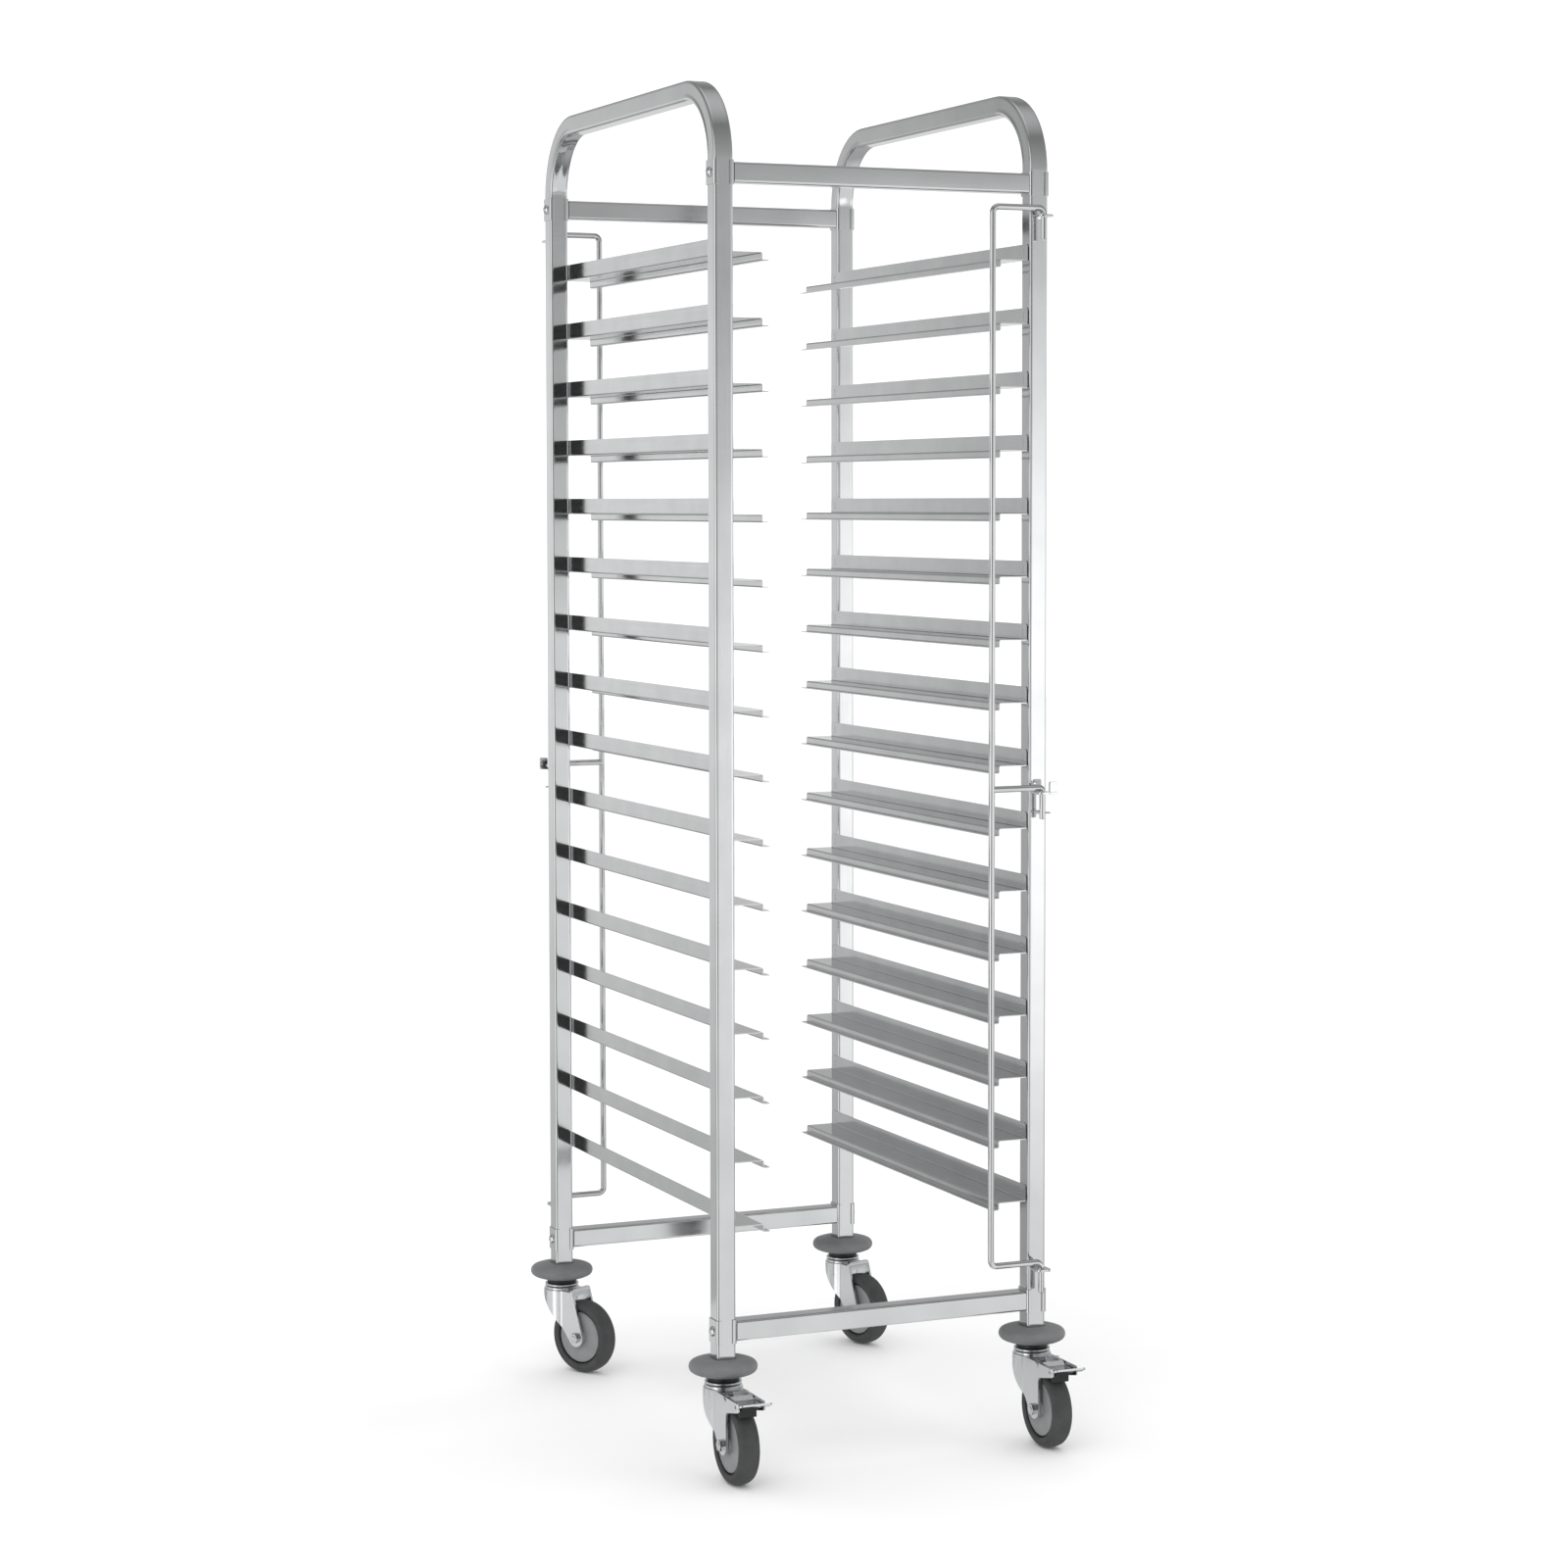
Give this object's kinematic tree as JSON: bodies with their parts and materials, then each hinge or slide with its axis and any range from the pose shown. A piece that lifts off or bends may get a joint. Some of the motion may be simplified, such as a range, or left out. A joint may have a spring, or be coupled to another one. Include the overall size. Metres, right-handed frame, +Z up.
{
  "type": "tray trolley",
  "caption": "Tall wheeled rack of bent square tube with pairs of folded tray runners, swinging lock bars front and back, bumper discs and braked swivel casters.",
  "frame": {"origin": "on the floor under the middle of the trolley's bounding box", "axes": "+Z up, X along the cross rails, +Y from the front with the brakes to the back"},
  "size_m": [0.516, 0.746, 1.727],
  "materials": {
    "polished_stainless": "polished",
    "stainless_sheet": "bright rolled",
    "bright_fastener": "bright",
    "zinc_plated": "plated",
    "grey_bumper": "smooth grey plastic",
    "grey_hub": "moulded grey plastic",
    "grey_tyre": "non-marking grey rubber",
    "black_plastic": "black"
  },
  "bodies": {
    "frame": {"left_side_frame": "polished_stainless", "right_side_frame": "polished_stainless", "front_top_rail": "polished_stainless", "rear_top_rail": "polished_stainless", "front_bottom_rail": "polished_stainless", "rear_bottom_rail": "polished_stainless", "rail_clamp_plates": "polished_stainless", "rail_bolts": "bright_fastener", "runner_pair_01": "stainless_sheet", "runner_pair_02": "stainless_sheet", "runner_pair_03": "stainless_sheet", "runner_pair_04": "stainless_sheet", "runner_pair_05": "stainless_sheet", "runner_pair_06": "stainless_sheet", "runner_pair_07": "stainless_sheet", "runner_pair_08": "stainless_sheet", "runner_pair_09": "stainless_sheet", "runner_pair_10": "stainless_sheet", "runner_pair_11": "stainless_sheet", "runner_pair_12": "stainless_sheet", "runner_pair_13": "stainless_sheet", "runner_pair_14": "stainless_sheet", "runner_pair_15": "stainless_sheet", "runner_pair_16": "stainless_sheet", "lock_bar_lugs": "polished_stainless", "bumper_discs": "grey_bumper", "stem_sleeves": "black_plastic", "swivel_stems": "zinc_plated", "dust_seals": "black_plastic"},
    "front_lock": {"front_lock_bar": "polished_stainless", "front_lock_clip": "bright_fastener"},
    "rear_lock": {"rear_lock_bar": "polished_stainless", "rear_lock_clip": "bright_fastener"},
    "front_left_caster": {"front_left_fork": "zinc_plated", "front_left_axle": "bright_fastener", "front_left_bush": "zinc_plated", "front_left_brake_pin": "bright_fastener"},
    "front_left_wheel": {"front_left_hub": "grey_hub", "front_left_tyre": "grey_tyre"},
    "front_left_brake": {"front_left_brake_pedal": "zinc_plated", "front_left_brake_shoe": "black_plastic"},
    "front_right_caster": {"front_right_fork": "zinc_plated", "front_right_axle": "bright_fastener", "front_right_bush": "zinc_plated", "front_right_brake_pin": "bright_fastener"},
    "front_right_wheel": {"front_right_hub": "grey_hub", "front_right_tyre": "grey_tyre"},
    "front_right_brake": {"front_right_brake_pedal": "zinc_plated", "front_right_brake_shoe": "black_plastic"},
    "rear_left_caster": {"rear_left_fork": "zinc_plated", "rear_left_axle": "bright_fastener", "rear_left_bush": "zinc_plated"},
    "rear_left_wheel": {"rear_left_hub": "grey_hub", "rear_left_tyre": "grey_tyre"},
    "rear_right_caster": {"rear_right_fork": "zinc_plated", "rear_right_axle": "bright_fastener", "rear_right_bush": "zinc_plated"},
    "rear_right_wheel": {"rear_right_hub": "grey_hub", "rear_right_tyre": "grey_tyre"}
  },
  "joints": [
    {"name": "front_left_swivel", "type": "hinge", "parent": "frame", "child": "front_left_caster", "pos_m": [-0.215, -0.265, 0.113], "axis": [0, 0, 1], "continuous": true},
    {"name": "front_left_roll", "type": "hinge", "parent": "front_left_caster", "child": "front_left_wheel", "pos_m": [-0.215, -0.307, 0.05], "axis": [1, 0, 0], "continuous": true},
    {"name": "front_left_brake_press", "type": "hinge", "parent": "front_left_caster", "child": "front_left_brake", "pos_m": [-0.215, -0.315, 0.1085], "axis": [1, 0, 0], "range_deg": [0, 8]},
    {"name": "front_right_swivel", "type": "hinge", "parent": "frame", "child": "front_right_caster", "pos_m": [0.215, -0.265, 0.113], "axis": [0, 0, 1], "continuous": true},
    {"name": "front_right_roll", "type": "hinge", "parent": "front_right_caster", "child": "front_right_wheel", "pos_m": [0.215, -0.307, 0.05], "axis": [1, 0, 0], "continuous": true},
    {"name": "front_right_brake_press", "type": "hinge", "parent": "front_right_caster", "child": "front_right_brake", "pos_m": [0.215, -0.315, 0.1085], "axis": [1, 0, 0], "range_deg": [0, 8]},
    {"name": "rear_left_swivel", "type": "hinge", "parent": "frame", "child": "rear_left_caster", "pos_m": [-0.215, 0.33, 0.113], "axis": [0, 0, 1], "continuous": true},
    {"name": "rear_left_roll", "type": "hinge", "parent": "rear_left_caster", "child": "rear_left_wheel", "pos_m": [-0.19528, 0.29292, 0.05], "axis": [0.8829, 0.4695, 0], "continuous": true},
    {"name": "rear_right_swivel", "type": "hinge", "parent": "frame", "child": "rear_right_caster", "pos_m": [0.215, 0.33, 0.113], "axis": [0, 0, 1], "continuous": true},
    {"name": "rear_right_roll", "type": "hinge", "parent": "rear_right_caster", "child": "rear_right_wheel", "pos_m": [0.22658, 0.28963, 0.05], "axis": [0.9613, 0.2756, 0], "continuous": true},
    {"name": "front_lock_swing", "type": "hinge", "parent": "frame", "child": "front_lock", "pos_m": [0.215, -0.2905, 0.841], "axis": [0, 0, 1], "range_deg": [0, 90]},
    {"name": "rear_lock_swing", "type": "hinge", "parent": "frame", "child": "rear_lock", "pos_m": [-0.215, 0.3555, 0.841], "axis": [0, 0, 1], "range_deg": [0, 90]}
  ]
}
